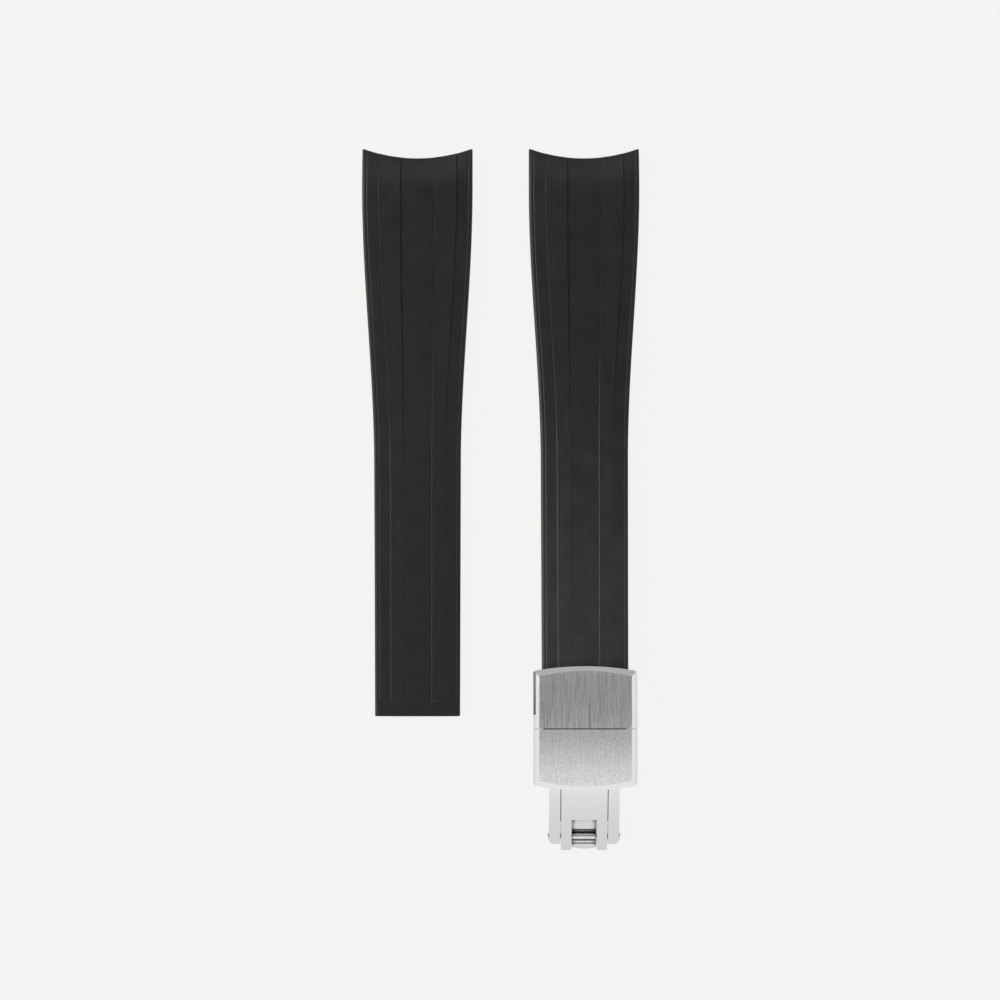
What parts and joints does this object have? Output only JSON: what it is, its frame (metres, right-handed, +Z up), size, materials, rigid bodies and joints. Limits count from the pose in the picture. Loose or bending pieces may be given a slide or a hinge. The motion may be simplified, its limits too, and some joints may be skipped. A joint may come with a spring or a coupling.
{
  "type": "rubber watch strap",
  "caption": "Two-piece moulded rubber watch strap with fitted curved ends; one half pinned into a folding steel clasp, the other lying beside it.",
  "frame": {"origin": "centre of the whole set's outline, on the table that it lies on", "axes": "+Y along both strap halves towards their lug ends, +X to the right, +Z up from the table"},
  "size_m": [0.0498, 0.1266, 0.0137],
  "materials": {
    "rubber": "satin moulded",
    "brushed_steel": "brushed lengthwise",
    "polished_steel": "polished",
    "blade_steel": "satin",
    "spring_steel": "plain wire and strip"
  },
  "bodies": {
    "clasp_base": {"base_blade": "blade_steel", "left_catch_spring": "spring_steel", "right_catch_spring": "spring_steel", "catch_rivets": "polished_steel", "upper_hinge_pin": "polished_steel", "lower_hinge_pin": "polished_steel", "left_strap": "rubber"},
    "upper_arm": {"upper_arm": "blade_steel"},
    "upper_cover": {"upper_cover": "brushed_steel", "upper_cover_pin": "polished_steel", "right_strap": "rubber", "upper_bar_tube": "polished_steel", "upper_bar_spring": "spring_steel"},
    "lower_arm": {"lower_arm": "blade_steel"},
    "lower_cover": {"lower_cover": "brushed_steel", "lower_cover_pin": "polished_steel", "lower_bar_tube": "polished_steel", "lower_bar_spring": "spring_steel"},
    "upper_left_plunger": {"upper_left_plunger": "polished_steel"},
    "upper_right_plunger": {"upper_right_plunger": "polished_steel"},
    "lower_left_plunger": {"lower_left_plunger": "polished_steel"},
    "lower_right_plunger": {"lower_right_plunger": "polished_steel"}
  },
  "joints": [
    {"name": "upper_fold", "type": "hinge", "parent": "clasp_base", "child": "upper_arm", "pos_m": [0.015, -0.02049, 0.00259], "axis": [-1, 0, 0], "range_deg": [0, 148]},
    {"name": "upper_cover_turn", "type": "hinge", "parent": "upper_arm", "child": "upper_cover", "pos_m": [0.015, -0.03889, 0.00784], "axis": [-1, 0, 0], "range_deg": [-148, 0]},
    {"name": "lower_fold", "type": "hinge", "parent": "clasp_base", "child": "lower_arm", "pos_m": [0.015, -0.06069, 0.00259], "axis": [1, 0, 0], "range_deg": [0, 148]},
    {"name": "lower_cover_turn", "type": "hinge", "parent": "lower_arm", "child": "lower_cover", "pos_m": [0.015, -0.04229, 0.00784], "axis": [1, 0, 0], "range_deg": [-148, 0]},
    {"name": "upper_left_tip_slide", "type": "slide", "parent": "upper_cover", "child": "upper_left_plunger", "axis": [1, 0, 0], "range_m": [0, 0.0009], "stiffness_N_per_m": 200, "springref_m": -0.005, "deforming": ["upper_bar_spring"]},
    {"name": "upper_right_tip_slide", "type": "slide", "parent": "upper_cover", "child": "upper_right_plunger", "axis": [-1, 0, 0], "range_m": [0, 0.0009], "stiffness_N_per_m": 200, "springref_m": -0.005, "deforming": ["upper_bar_spring"]},
    {"name": "lower_left_tip_slide", "type": "slide", "parent": "lower_cover", "child": "lower_left_plunger", "axis": [1, 0, 0], "range_m": [0, 0.0009], "stiffness_N_per_m": 200, "springref_m": -0.005, "deforming": ["lower_bar_spring"]},
    {"name": "lower_right_tip_slide", "type": "slide", "parent": "lower_cover", "child": "lower_right_plunger", "axis": [-1, 0, 0], "range_m": [0, 0.0009], "stiffness_N_per_m": 200, "springref_m": -0.005, "deforming": ["lower_bar_spring"]}
  ],
  "couplings": [
    {"joint": "upper_cover_turn", "follows": "upper_fold", "ratio": -1},
    {"joint": "lower_cover_turn", "follows": "lower_fold", "ratio": -1}
  ]
}
